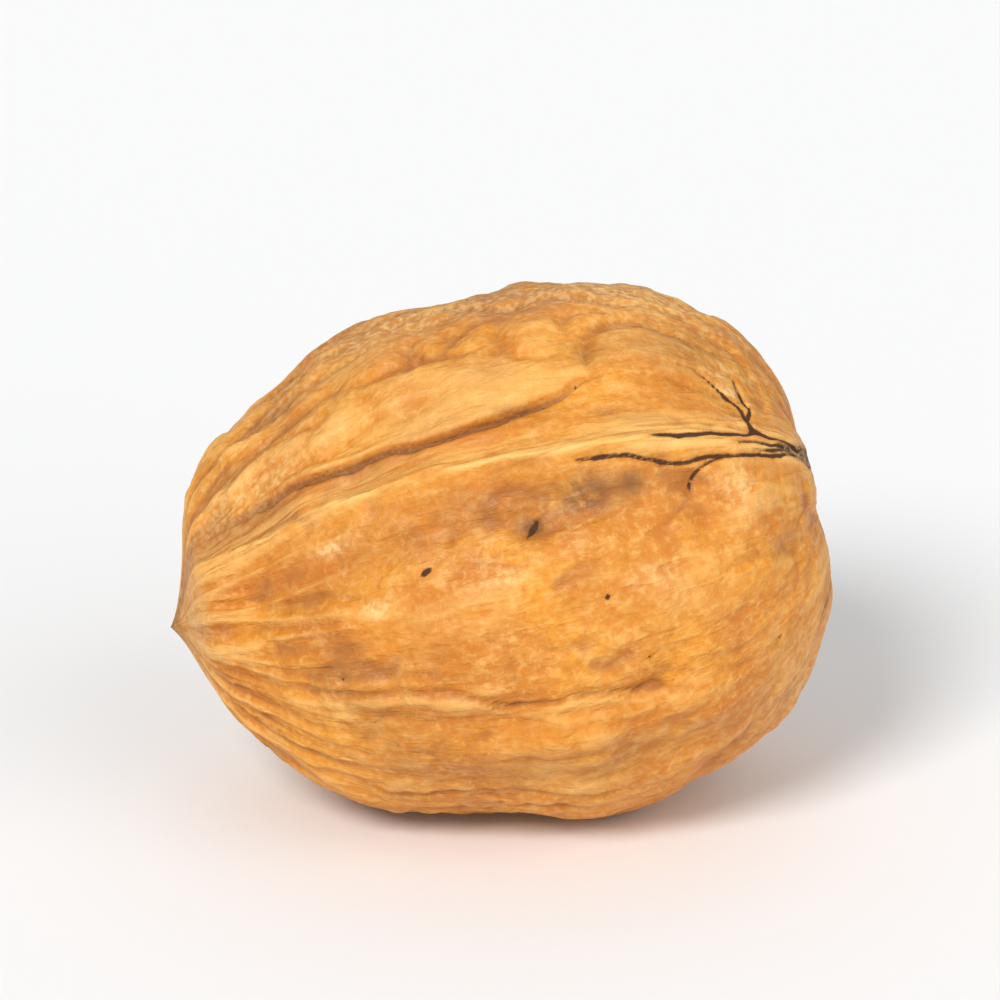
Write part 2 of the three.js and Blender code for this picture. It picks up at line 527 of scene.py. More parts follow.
@dataclass(frozen=True)
class Rent:
    """A crack or a strip of torn cork: a line of changing width with any course over the shell.

    Attributes:
        path: Points of (millimetres along the shell from the tip, bearing in degrees, half width).
    """

    path: tuple[tuple[float, float, float], ...]

    def gap(self, grid: ShellGrid, body: NutBody, places: Array) -> Array:
        """Distance of each place from the edge of the rent, less than zero inside it.

        The course is a smooth curve over the smooth body, cut into short straight pieces. The gap is the
        smallest distance to a piece, less the half width there.

        Args:
            grid: The shell's grid.
            body: The body that the rent runs over.
            places: Points of the smooth body, one row each.

        Returns:
            Gaps in millimetres.
        """
        curve = smooth_path(np.array(self.path, float), RENT_STEPS)
        stations = grid.station_at(curve[:, 0])
        bearings = np.radians(curve[:, 1])
        line = body.place(stations, bearings, body.mean_radius(stations, bearings))
        low, high = line.min(0) - RENT_MARGIN, line.max(0) + RENT_MARGIN
        near = np.flatnonzero(((places > low) & (places < high)).all(1))
        close = places[near]
        found = np.full(len(places), RENT_MARGIN)
        best = np.full(len(close), RENT_MARGIN)
        for start, end, wide, narrow in zip(line[:-1], line[1:], curve[:-1, 2], curve[1:, 2]):
            step = end - start
            share = np.clip((close - start) @ step / max(float(step @ step), 1e-12), 0, 1)
            away = np.linalg.norm(close - start - share[:, None] * step, axis=1)
            best = np.minimum(best, away - (wide + share * (narrow - wide)))
        found[near] = best
        return found


@dataclass(frozen=True)
class Dint:
    """A soft groove with any course over the shell.

    Attributes:
        line: Its course and the half width of its floor, less than zero where the groove fades out.
        depth: Its depth in millimetres.
        spread: How far its sides reach.
    """

    line: Rent
    depth: float
    spread: float

    def relief(self, grid: ShellGrid, body: NutBody, places: Array) -> Array:
        """Height of the groove at each place: minus a bell of the distance from its floor."""
        gap = np.maximum(self.line.gap(grid, body, places), 0)
        return -self.depth * bell(gap, self.spread)


@dataclass(frozen=True)
class Patch:
    """A soft-edged patch of colour.

    Attributes:
        along: Millimetres along the shell from the tip to its middle.
        bearing: Bearing of its middle, in degrees.
        length: Half length along the shell in millimetres.
        width: Half width around it in millimetres.
        strength: How strong the colour is in the middle, from 0 to 1.
    """

    along: float
    bearing: float
    length: float
    width: float
    strength: float

    def mask(self, grid: ShellGrid) -> Array:
        """Strength of the patch at each vertex: a bell along the shell times a bell around it."""
        around = turn(grid.bearing - math.radians(self.bearing)) * grid.mean
        return self.strength * bell(grid.along - self.along, self.length) * bell(around, self.width)


NEAR_CREASES = (
    Crease(((7, 25), (10, 20.2), (12.2, 18.3), (14.6, 15.2), (16.8, 14), (21.7, 11.7), (25, 10), (28.5, 10),
            (31.4, 11.7), (34, 14.5), (38, 19)), 0.56, 0.24, 0.5, 2.2, Lip.UPPER),
    Crease(((11, -44), (13.2, -47), (19.2, -47), (21.7, -48), (24.6, -50), (26.4, -53.5), (29.6, -53.4),
            (32.4, -54), (35, -57), (38, -59.4), (41, -61)), 0.22, 0.24, 0.5, 1.1, Lip.LOWER),
    Crease(((11, -42), (13.6, -44.2), (18.2, -43.2), (22.1, -44), (26, -46), (30, -46)),
           0.12, 0.26, 0.1, 1.2, Lip.LOWER),
    Crease(((17, -64), (22, -67), (28, -69), (34, -69)), 0.1, 0.3, 0.16, 1.3, Lip.LOWER),
    Crease(((20, -80), (27, -82), (33, -80)), 0.1, 0.34, 0.12, 1.4, Lip.LOWER),
    Crease(((7, 32), (9.5, 30), (11.8, 35), (14.6, 38.6), (18.2, 37.7), (22, 36.5)),
           0.2, 0.36, 0.12, 1.0, Lip.UPPER),
    Crease(((8, 46), (12, 51), (16, 50), (20, 47), (25, 47)), 0.24, 0.34, 0.16, 0.9, Lip.UPPER),
    Crease(((12, 58.5), (15, 58), (20, 57), (26, 60)), 0.26, 0.32, 0.16, 0.9, Lip.UPPER),
    Crease(((13, 66), (15, 65), (19, 64), (25, 66)), 0.24, 0.32, 0.16, 0.9, Lip.UPPER),
    Crease(((12, 75), (15, 73), (20, 71), (27, 73)), 0.26, 0.32, 0.16, 0.9, Lip.UPPER),
    Crease(((22, 56), (27.8, 54.5), (31.7, 47.7), (34.6, 47.7), (37, 43.9), (39.4, 42.1), (42, 42), (46, 38)),
           0.26, 0.34, 0.34, 1.6, Lip.UPPER),
    Crease(((40, 34), (43, 30), (46, 31)), 0.14, 0.3, 0.1, 1.0, Lip.UPPER),
)

BULGES = (
    Patch(45.6, -21, 3.4, 3.6, 0.6), Patch(33.4, 33.5, 1.8, 2.6, 0.3), Patch(39.4, 22, 3.4, 2.6, 0.55),
    Patch(19, 27, 5.5, 2.4, 0.45), Patch(28.6, 22, 3.2, 2.4, 0.35), Patch(24, -32, 6, 4, 0.3),
    Patch(40.4, 38, 1.8, 1.4, 0.4), Patch(34, 60, 5, 2.6, 0.15), Patch(30.6, -64, 4, 1.8, 0.4),
    Patch(22.6, 42, 2.4, 1.6, 0.4), Patch(38, -34, 3, 3, 0.3), Patch(3.2, 68, 1.4, 3, -0.5),
    Patch(13.4, 77, 2, 5, 0.3),
)

DINTS = (
    Dint(Rent(((40.8, -8, -1.2), (40.6, -13, 0), (40.8, -18, 0.1), (41, -24, 0.1), (42.4, -30, 0),
               (44.6, -37, -1.2))), 0.26, 0.7),
    Dint(Rent(((50.6, -8, -1), (50.4, -18, 0), (50.4, -27, 0.1), (51.4, -34, 0), (54, -38, -1))), 0.34, 0.55),
    Dint(Rent(((31.6, 42, -0.8), (30.9, 34, 0.1), (31.4, 28, 0.1), (33.4, 24.5, 0), (35.2, 27, -0.8))),
         0.4, 0.4),
    Dint(Rent(((37.4, 13, -1), (36, 20, -0.3), (36.3, 28, 0.1), (38.4, 33.6, 0.1), (40.8, 33, 0.1),
               (43.6, 29.4, -0.8))), 0.42, 0.42),
    Dint(Rent(((36.3, 27, -0.5), (35.2, 34, 0.1), (36.8, 41, -0.8))), 0.42, 0.42),
    Dint(Rent(((24.2, 30, -0.8), (25.7, 34.3, 0.1), (25.4, 40, 0), (27.2, 47, -0.8))), 0.42, 0.42),
    Dint(Rent(((20, 36.5, -0.8), (23, 33, 0.1), (25.7, 34.3, 0.1), (28.4, 31, 0), (31, 33, -0.8))),
         0.44, 0.42),
    Dint(Rent(((38, 42, -0.8), (41, 36, 0.1), (44, 37, 0.1), (47.4, 33, -0.8))), 0.2, 0.45),
    Dint(Rent(((46.8, 3, -0.8), (47.6, 14, 0.1), (47.4, 26, 0.1), (45.6, 37, -0.8))), 0.32, 0.55),
    Dint(Rent(((33, -43, -0.6), (34.6, -47.7, 0), (36.3, -52.5, 0.05), (38.4, -58, 0.1), (41, -61, 0.05),
               (44.6, -61, -0.8))), 0.22, 0.3),
    Dint(Rent(((21.4, 129, -0.8), (27, 124, 0.1), (30, 131, 0.1), (36, 128, -0.8))), 0.3, 0.45),
    Dint(Rent(((32, 103, -0.8), (37, 110, 0.1), (39, 103, 0.1), (45, 107, -0.8))), 0.3, 0.45),
    Dint(Rent(((23, -133, -0.8), (29, -126, 0.1), (33, -133, 0.1), (39, -127, -0.8))), 0.3, 0.45),
    Dint(Rent(((40, 147, -0.8), (45, 153, 0.1), (47.6, 162, -0.8))), 0.3, 0.55),
)

CRACKS = (
    Rent(((33.6, -3, 0.01), (34.6, -3.6, 0.1), (35.6, -3.6, 0.11), (37, -4.6, 0.1), (38.7, -6.2, 0.11),
          (40.4, -7.6, 0.11), (41.4, -6.9, 0.1), (43.4, -6.7, 0.11), (45.5, -6.9, 0.11), (47.7, -6.9, 0.1),
          (50.8, -5.6, 0.03))),
    Rent(((38.4, -1.2, 0.01), (39.4, -1.5, 0.12), (41.4, -2, 0.13), (43, -1.5, 0.13), (45.2, -1.4, 0.17),
          (46.2, 0.6, 0.22), (47.5, -0.6, 0.16), (49.1, -1.5, 0.12), (51, -1.7, 0.04))),
    Rent(((43.2, 18.6, 0.06), (44.6, 13.4, 0.14), (45.5, 9.4, 0.16), (46.1, 1, 0.22))),
    Rent(((45.6, 22, 0.05), (46, 15.2, 0.14), (46.4, 10, 0.13), (45.9, 5, 0.16))),
    Rent(((40.4, -15.2, 0.01), (40.4, -13.4, 0.1), (40.8, -10.5, 0.1), (41.8, -8.5, 0.08),
          (43.2, -6.9, 0.06))),
    Rent(((44.6, -3.8, 0.01), (46.4, -3.5, 0.08), (48.8, -3.7, 0.1))),
    Rent(((45.6, -5.4, 0.01), (47.4, -5.3, 0.08), (50, -4.6, 0.08))),
    Rent(((29.8, -16.6, 0.05), (30.2, -15.2, 0.19), (30.5, -14, 0.17), (30.8, -12.6, 0.03))),
    Rent(((22.8, -19.6, 0.05), (23.2, -19, 0.19), (23.6, -18.4, 0.07))),
    Rent(((34, 181.2, 0.02), (37, 180.4, 0.1), (40, 181.4, 0.13), (44, 180.8, 0.2))),
    Rent(((37, 185.2, 0.02), (40, 185.6, 0.1), (44, 186.2, 0.16), (47, 185.4, 0.1))),
    Rent(((46.6, -118, 0.02), (48.4, -120, 0.1), (50.2, -119, 0.04))),
    Rent(((47.5, 96, 0.02), (49.8, 98, 0.11), (51.5, 97, 0.03))),
)

CORK = (
    Rent(((48.2, -4, 0.02), (49.8, -3.8, 0.26), (51.4, -3.4, 0.48), (54, -3, 0.85),
          (57, -1, 1.5), (59.4, 0, 1.9))),
    Rent(((40.5, 183.4, 0.04), (43.5, 183.4, 0.3), (47, 183, 0.5), (51, 182.4, 0.66), (54.5, 181.6, 1.0),
          (57, 181, 1.6), (59.4, 180, 1.9))),
    Rent(((49.2, -77, 0.05), (51, -79, 0.26), (53.5, -84, 0.42), (56, -90, 0.75), (59, -95, 1.3))),
    Rent(((54.6, 64, 0.05), (56.2, 70, 0.3), (59, 80, 1.0))),
    Rent(((55.6, 132, 0.05), (57, 136, 0.3), (59, 140, 0.9))),
)

PITS = (
    (33.8, -32.7, 0.16), (18.6, -30, 0.06), (25.7, 34.3, 0.09), (17.8, -58, 0.09),
    (16.2, -44, 0.08), (34.9, 15.8, 0.12), (30.5, 62, 0.09), (35.6, -48.6, 0.08), (44.6, -62, 0.08),
    (21, 110, 0.14), (33, 128, 0.1), (40, 150, 0.13), (26, -128, 0.12), (36, -148, 0.1), (18, -165, 0.1),
    (46, -30, 0.07), (50.5, 30, 0.1), (51.2, -40, 0.08), (48.8, 70, 0.09), (49.4, 150, 0.1),
)

# Dark stains; the three thin patches beside the near seam's upper crease, at bearings 11.4, 11.5 and 9.2, are
# painted shade under its lip.
STAINS_AND_LIP_SHADE = (
    Patch(31.2, 11.4, 1.5, 0.35, 0.8), Patch(30.3, -14.6, 1.2, 0.8, 0.9), Patch(34.2, -10.6, 1.9, 1.3, 1.0),
    Patch(36.9, -9.8, 0.8, 0.8, 0.9), Patch(28.5, -8.5, 6.5, 1.7, 0.4), Patch(20.5, -10, 6, 1.8, 0.25),
    Patch(41.2, 26, 2.4, 3.0, 0.25), Patch(19, -60, 4, 4, 0.32), Patch(16, -44, 2, 2, 0.3),
    Patch(36, 24, 1.6, 1.0, 0.5), Patch(30, -76, 9, 3, 0.3), Patch(45, 30, 4, 3, 0.3),
    Patch(28, 64, 14, 3.2, 0.45), Patch(38, 56, 6, 2.6, 0.4), Patch(24, 118, 7, 4, 0.4),
    Patch(38, 142, 5, 3, 0.5), Patch(22, -140, 6, 3, 0.4), Patch(40, -128, 5, 4, 0.35),
    Patch(30, 172, 8, 2, 0.5), Patch(28, -172, 9, 2, 0.45), Patch(18, 11.5, 7, 0.4, 0.35),
    Patch(25, 9.2, 6, 0.4, 0.35),
)

# Redder brown strips and patches. The three strips under the near seam's upper crease are partly the
# channel's own orange-brown and partly painted shade under the lip; the broad patch over the upper cheek at
# bearing 46 is painted shade.
AMBERS_AND_SHADE = (
    Patch(13, 14, 5, 0.8, 0.7), Patch(20, 10, 7, 0.8, 0.8), Patch(28, 7.6, 5, 0.8, 0.75),
    Patch(14, -10, 5, 1.2, 0.6), Patch(25, -6.4, 8, 1.4, 0.6), Patch(41, 8, 3, 1.6, 0.5),
    Patch(50.4, -20, 0.9, 3, 0.35), Patch(20, -36, 5, 4, 0.45),
    Patch(28, 46, 12, 5, 0.25), Patch(34, 39, 3, 2, 0.5), Patch(30, -62, 8, 2.4, 0.4),
    Patch(44, -24, 4, 5, 0.25), Patch(26, 100, 8, 5, 0.4), Patch(34, -108, 8, 5, 0.4),
    Patch(30, 150, 8, 4, 0.4),
)

CHALKS = (
    Patch(3, 10, 3, 4.5, 0.15), Patch(3, -60, 3, 9, 0.15), Patch(9, 26, 4, 1.6, 0.25),
    Patch(14, 24, 4, 1.6, 0.3), Patch(44.3, 20.5, 1.1, 0.35, 0.8), Patch(45.9, 25, 1.2, 0.3, 0.8),
    Patch(17.6, -6.4, 1.6, 0.5, 0.8), Patch(27.6, -24, 1.6, 0.5, 0.6),
    Patch(19.4, -25, 0.8, 0.5, 0.9), Patch(44, -15.4, 1.5, 1.2, 0.7), Patch(37, -31, 2.0, 0.8, 0.35),
    Patch(45.2, 15, 1.2, 0.5, 1.0), Patch(26, 55, 10, 2.6, 0.45), Patch(40, 50, 6, 4, 0.5),
    Patch(30, 90, 14, 12, 0.3), Patch(30, -120, 12, 9, 0.25), Patch(18, 140, 6, 4, 0.5),
    Patch(46, 120, 4, 5, 0.4), Patch(14, -150, 4, 4, 0.5), Patch(46, -100, 4, 5, 0.35),
)


# ---- materials


class Graph:
    """Builds the nodes of one tree."""

    def __init__(self, tree: bpy.types.NodeTree) -> None:
        """Starts with the tree's own nodes."""
        self.tree = tree

    def node(self, kind: str, inputs: dict | None = None, **settings: object) -> bpy.types.Node:
        """Adds a node.

        Args:
            kind: Blender's name for the kind of node.
            inputs: Values or sockets for its inputs, by name or place.
            **settings: Properties of the node.

        Returns:
            The node.
        """
        made = self.tree.nodes.new(kind)
        made.location = (180 * (len(self.tree.nodes) % 12), -220 * (len(self.tree.nodes) // 12))
        for name, value in settings.items():
            setattr(made, name, value)
        for name, value in (inputs or {}).items():
            if isinstance(value, bpy.types.NodeSocket):
                self.tree.links.new(value, made.inputs[name])
            else:
                made.inputs[name].default_value = value
        return made

    def sum(self, first: object, second: object) -> bpy.types.NodeSocket:
        """Adds two numbers."""
        return self.node("ShaderNodeMath", {0: first, 1: second}, operation="ADD").outputs[0]

    def times(self, first: object, second: object) -> bpy.types.NodeSocket:
        """Multiplies two numbers."""
        return self.node("ShaderNodeMath", {0: first, 1: second}, operation="MULTIPLY").outputs[0]

    def step(self, value: object, low: float, high: float, out: tuple = (0.0, 1.0)) -> bpy.types.NodeSocket:
        """A smooth step of a number: the first value of out at low, and the second at high."""
        inputs = {"Value": value, "From Min": low, "From Max": high, "To Min": out[0], "To Max": out[1]}
        return self.node("ShaderNodeMapRange", inputs, interpolation_type="SMOOTHSTEP").outputs[0]

    def blend(self, factor: object, first: object, second: object, way: str = "MIX") -> bpy.types.NodeSocket:
        """Mixes two colours.

        Args:
            factor: How much of the second colour, from 0 to 1.
            first: A colour or a socket.
            second: A colour or a socket.
            way: How they are mixed.

        Returns:
            The socket with the mixed colour.
        """
        first, second = (solid(x) if isinstance(x, tuple) else x for x in (first, second))
        inputs = {0: factor, 6: first, 7: second}
        return self.node("ShaderNodeMix", inputs, data_type="RGBA", blend_type=way).outputs[2]

    def tinted(self, colour: object, layers: tuple[tuple, ...]) -> bpy.types.NodeSocket:
        """Blends tints over a colour, one after the other.

        Args:
            colour: The colour underneath.
            layers: For each tint its mask, where a step of the mask begins and ends, its strength, and it.

        Returns:
            The socket with the tinted colour.
        """
        for mask, low, high, strength, tint in layers:
            colour = self.blend(self.times(self.step(mask, low, high), strength), colour, tint)
        return colour

    def mark(self, name: str) -> bpy.types.NodeSocket:
        """Reads a number that the mesh carries at its vertices."""
        return self.node("ShaderNodeAttribute", attribute_name=name).outputs["Fac"]

    def fractal(
        self, place: object, size: float, detail: float = 2.0, warp: float = 0.0
    ) -> bpy.types.NodeSocket:
        """Fractal noise, about 0.3 to 0.7, whose coarsest features have a size in millimetres."""
        inputs = {"Vector": place, "Scale": 1 / (size * MILLIMETRE), "Detail": detail, "Distortion": warp}
        return self.node("ShaderNodeTexNoise", inputs).outputs[0]

    def squeezed(self, place: object, scale: tuple[float, float, float]) -> bpy.types.NodeSocket:
        """Coordinates scaled by a different amount along each axis."""
        return self.node("ShaderNodeMapping", {"Vector": place, "Scale": scale}).outputs[0]


def solid(colour: Colour) -> tuple[float, float, float, float]:
    """A colour with full cover."""
    return (*colour, 1.0)


def group(name: str, inputs: dict[str, str], outputs: dict[str, str]) -> tuple[Graph, dict, bpy.types.Node]:
    """Starts a shader node group.

    Args:
        name: The group's name.
        inputs: The kind of each named input: Float, Vector or Color.
        outputs: The kind of each named output.

    Returns:
        The graph to add nodes to, the group's input sockets by name, and its output node.
    """
    tree = bpy.data.node_groups.new(name, "ShaderNodeTree")
    for side, sockets in (("INPUT", inputs), ("OUTPUT", outputs)):
        for label, kind in sockets.items():
            tree.interface.new_socket(label, in_out=side, socket_type=f"NodeSocket{kind}")
    graph = Graph(tree)
    entry = graph.node("NodeGroupInput")
    return graph, {label: entry.outputs[label] for label in inputs}, graph.node("NodeGroupOutput")


def fibre_grain_group() -> bpy.types.NodeTree:
    """The fine grain of dry husk and shell: short fibres along the surface, over a soft grit.

    Returns:
        A group with a height in millimetres, and a tone that is high on the fibres.
    """
    graph, given, out = group(
        "fibre_grain", {"Along": "Vector", "Place": "Vector"}, {"Height": "Float", "Tone": "Float"}
    )
    run = graph.squeezed(given["Along"], (0.3, 1.0, 1.0))
    fibre = graph.fractal(run, 0.62, 3.0, 0.6)
    curl = graph.fractal(given["Place"], 1.1, 4.0, 0.3)
    grit = graph.fractal(given["Place"], 0.24, 2.0)
    ridge = graph.step(curl, 0.38, 0.6)
    height = graph.sum(graph.times(fibre, 0.2), graph.times(curl, 0.16))
    height = graph.sum(height, graph.times(grit, 0.05))
    tone = graph.sum(graph.times(fibre, 0.55), graph.times(curl, 0.45))
    graph.tree.links.new(height, out.inputs["Height"])
    graph.tree.links.new(graph.sum(tone, graph.times(ridge, 0.04)), out.inputs["Tone"])
    return graph.tree


def cork_tissue_group() -> bpy.types.NodeTree:
    """Torn cork: crumbs of grey-brown tissue with near-black gaps and a few straw-coloured threads.

    Returns:
        A group with a colour and a height in millimetres.
    """
    graph, given, out = group(
        "cork_tissue", {"Along": "Vector", "Place": "Vector"}, {"Colour": "Color", "Height": "Float"}
    )
    crumb = graph.fractal(given["Place"], 0.7, 4.0, 1.2)
    thread = graph.fractal(graph.squeezed(given["Along"], (0.22, 1.0, 1.0)), 0.3, 3.0, 0.5)
    mixed = graph.sum(graph.times(crumb, 0.6), graph.times(thread, 0.4))
    colour = graph.blend(graph.step(mixed, 0.37, 0.47), (0.03, 0.014, 0.006), (0.2, 0.1, 0.042))
    colour = graph.blend(graph.step(mixed, 0.46, 0.57), colour, (0.52, 0.32, 0.15))
    graph.tree.links.new(colour, out.inputs["Colour"])
    graph.tree.links.new(graph.times(mixed, 0.55), out.inputs["Height"])
    return graph.tree


@dataclass(frozen=True)
class ShellFinish:
    """Dry matt shell: tan, browner in the hollows and creases as painted shade, paler on the ridges as
    painted highlight, with a faint dusty bloom.

    Attributes:
        tan: The shell's main colour.
        gold: Its lighter, yellower patches.
        amber: The redder brown of streaks, specks and smooth sheltered strips; also laid on, partly as
            painted shade, under the near seam's upper lip, and as painted shade over the upper cheek.
        hollow_shade: The brown painted into the hollows of the relief as shade.
        umber: The dark brown of stains, and of painted shade in creases.
        cream: Pale fibres, specks and the worn seam, and the painted highlight on raised relief.
        chalk: Pale bloom.
        pitch: The dark brown of cracks and pits.
        roughness: Roughness of the bare shell.
        ior: Refractive index of the shell's surface.
        shine: How strong its highlights are.
    """

    tan: Colour = (0.6, 0.21, 0.02)
    gold: Colour = (0.74, 0.3, 0.027)
    amber: Colour = (0.56, 0.16, 0.012)
    hollow_shade: Colour = (0.4, 0.13, 0.02)
    umber: Colour = (0.19, 0.072, 0.02)
    cream: Colour = (0.88, 0.49, 0.135)
    chalk: Colour = (0.88, 0.575, 0.24)
    pitch: Colour = (0.078, 0.031, 0.012)
    roughness: float = 0.5
    ior: float = 1.46
    shine: float = 0.42

    def material(self, grain: bpy.types.NodeTree, cork: bpy.types.NodeTree) -> bpy.types.Material:
        """Makes the shell's material from its marks and from noise.

        Args:
            grain: The fibre grain group.
            cork: The cork tissue group.

        Returns:
            The material.
        """
        made = bpy.data.materials.new("walnut_shell")
        made.use_nodes = True
        made.node_tree.nodes.clear()
        graph = Graph(made.node_tree)
        place = graph.node("ShaderNodeTexCoord").outputs["Object"]
        along = graph.node("ShaderNodeAttribute", attribute_name="shell_run").outputs["Vector"]
        fine = graph.node("ShaderNodeGroup", node_tree=grain)
        torn = graph.node("ShaderNodeGroup", node_tree=cork)
        for shared in (fine, torn):
            graph.tree.links.new(along, shared.inputs["Along"])
            graph.tree.links.new(place, shared.inputs["Place"])
        tone, swell = fine.outputs["Tone"], graph.mark("swell")

        mottle = graph.fractal(place, 6.5, 3.0, 0.5)
        streak = graph.fractal(graph.squeezed(along, (0.3, 1.0, 1.0)), 2.4, 4.0, 0.8)
        speck = graph.fractal(place, 0.45, 4.0, 0.3)
        colour = graph.blend(graph.step(mottle, 0.34, 0.62), self.tan, self.gold)
        colour = graph.tinted(colour, (
            (streak, 0.46, 0.7, 0.45, self.amber),
            (tone, 0.52, 0.32, 0.4, self.amber),
            (speck, 0.5, 0.3, 0.42, self.amber),
            (tone, 0.5, 0.7, 0.4, self.cream),
            (speck, 0.5, 0.74, 0.45, self.cream),
        ))
        # Amber patches, partly painted shade: under the near seam's upper lip, and over the upper cheek.
        colour = graph.blend(graph.times(graph.mark("amber"), 0.85), colour, self.amber)
        # Painted shade and highlight: hollows of the relief are tinted dark brown, and its raised parts pale
        # cream.
        colour = graph.tinted(colour, (
            (swell, -0.03, -0.36, 0.8, self.hollow_shade),
            (swell, 0.03, 0.34, 0.55, self.cream),
        ))
        # Painted shade: the floor of each crease is darkened towards dark brown.
        colour = graph.blend(graph.times(graph.mark("groove"), 0.75), colour, self.umber)
        # Stains, and painted shade under the lip of the near seam's upper crease.
        stain_and_lip_shade = graph.times(graph.mark("stain_and_lip_shade"), graph.step(graph.fractal(place, 1.5, 4.0, 1.0), 0.22, 0.56))
        colour = graph.blend(graph.times(stain_and_lip_shade, 0.85), colour, self.umber)
        strand = graph.fractal(graph.squeezed(along, (0.07, 1.0, 1.0)), 0.5, 3.0, 0.2)
        keel = graph.times(graph.mark("keel"), graph.step(strand, 0.4, 0.56, (0.15, 1.0)))
        colour = graph.blend(keel, colour, self.cream)
        bloom = graph.step(graph.fractal(place, 2.6, 5.0, 0.5), 0.5, 0.7)
        bloom = graph.sum(graph.mark("chalk"), graph.times(bloom, 0.14))
        bloom = graph.times(bloom, graph.step(speck, 0.4, 0.62, (0.25, 1.0)))
        colour = graph.blend(bloom, colour, self.chalk)

        uneven = graph.sum(speck, -0.5)
        cork_gap = graph.sum(graph.mark("cork_gap"), graph.times(uneven, 0.22))
        crack_gap = graph.sum(graph.mark("crack_gap"), graph.times(uneven, 0.1))
        in_cork = graph.step(cork_gap, 0.06, -0.08)
        in_crack = graph.step(crack_gap, 0.09, -0.03)
        rim = graph.times(graph.step(cork_gap, 0.4, 0.02), 0.4)
        colour = graph.blend(rim, colour, self.umber)
        colour = graph.blend(in_cork, colour, torn.outputs["Colour"])
        colour = graph.blend(in_crack, colour, self.pitch)

        rough = graph.step(tone, 0.4, 0.62, (self.roughness + 0.08, self.roughness - 0.06))
        rough = graph.sum(rough, graph.times(graph.sum(bloom, in_cork), 0.25))
        rough = graph.sum(rough, graph.times(in_crack, 0.4))
        height = graph.sum(fine.outputs["Height"], graph.times(torn.outputs["Height"], in_cork))
        bump = graph.node("ShaderNodeBump", {"Height": height, "Distance": MILLIMETRE, "Strength": 1.0})
        surface = graph.node(
            "ShaderNodeBsdfPrincipled",
            {"Base Color": colour, "Roughness": rough, "Normal": bump.outputs[0]},
        )
        surface.inputs["IOR"].default_value = self.ior
        surface.inputs["Specular IOR Level"].default_value = self.shine
        out = graph.node("ShaderNodeOutputMaterial")
        graph.tree.links.new(surface.outputs[0], out.inputs[0])
        return made


@dataclass(frozen=True)
class FloorFinish:
    """Smooth pale paper.

    Attributes:
        tone: Its colour.
        roughness: Its roughness.
        tooth_size: Size of the paper's tooth in millimetres.
        tooth_height: Height of the tooth in millimetres.
    """

    tone: Colour = (0.908, 0.915, 0.921)
    roughness: float = 0.9
    tooth_size: float = 0.6
    tooth_height: float = 0.01

    def material(self) -> bpy.types.Material:
        """Makes the floor's material, with the faint tooth of paper.

        Returns:
            The material.
        """
        made = bpy.data.materials.new("studio_paper")
        made.use_nodes = True
        graph = Graph(made.node_tree)
        place = graph.node("ShaderNodeTexCoord").outputs["Object"]
        tooth = graph.fractal(place, self.tooth_size)
        bump = graph.node("ShaderNodeBump", {"Height": tooth, "Distance": self.tooth_height * MILLIMETRE})
        surface = graph.tree.nodes["Principled BSDF"]
        surface.inputs["Base Color"].default_value = solid(self.tone)
        surface.inputs["Roughness"].default_value = self.roughness
        surface.inputs["Specular IOR Level"].default_value = 0.0
        graph.tree.links.new(bump.outputs[0], surface.inputs["Normal"])
        return made


# ---- the nut


def placed(name: str, data: bpy.types.ID) -> bpy.types.Object:
    """Puts a mesh, lamp or camera into the scene.

    Args:
        name: The object's name.
        data: What it shows.

    Returns:
        The object.
    """
    made = bpy.data.objects.new(name, data)
    bpy.context.scene.collection.objects.link(made)
    return made


def face_corners(here: Array, beside: Array, first: Array, last: Array) -> Array:
    """What stands at each corner of a closed grid's faces: a fan at the first end, quads, then a fan.

    Args:
        here: Values at the vertices, one row a ring, with the numbers of a vertex last.
        beside: The same for the next vertex round the ring.
        first: Values at the first end point, once for each triangle of its fan.
        last: The same at the last end point.

    Returns:
        One row for each corner.
    """
    tip = np.stack([first, here[0], beside[0]], 1)
    quads = np.stack([here[:-1], here[1:], beside[1:], beside[:-1]], 2)
    stem = np.stack([last, beside[-1], here[-1]], 1)
    return np.concatenate([part.reshape(-1, here.shape[-1]) for part in (tip, quads, stem)])


def closed_mesh(name: str, rings: Array, ends: Array) -> bpy.types.Mesh:
    """A closed mesh from rings of points: quads between rings, and a fan of triangles to a point at each end.

    Args:
        name: The mesh's name.
        rings: Points in metres, one row a ring, in the order of their bearings.
        ends: The points that close the first ring and the last.

    Returns:
        The mesh, shaded smooth.
    """
    rows, columns = rings.shape[:2]
    places = np.vstack([rings.reshape(-1, 3), ends])
    number = np.arange(rows * columns).reshape(rows, columns, 1)
    first, last = (np.full((columns, 1), rows * columns + k) for k in (0, 1))
    corners = face_corners(number, np.roll(number, -1, axis=1), first, last).ravel()
    sizes = np.repeat([3, 4, 3], [columns, (rows - 1) * columns, columns])
    mesh = bpy.data.meshes.new(name)
    mesh.vertices.add(len(places))
    mesh.vertices.foreach_set("co", places.astype(np.float32).ravel())
    mesh.loops.add(len(corners))
    mesh.loops.foreach_set("vertex_index", corners.astype(np.int32))
    mesh.polygons.add(len(sizes))
    mesh.polygons.foreach_set("loop_start", np.r_[0, np.cumsum(sizes)[:-1]].astype(np.int32))
    mesh.polygons.foreach_set("use_smooth", np.ones(len(sizes), bool))
    mesh.update(calc_edges=True)
    mesh.validate()
    return mesh


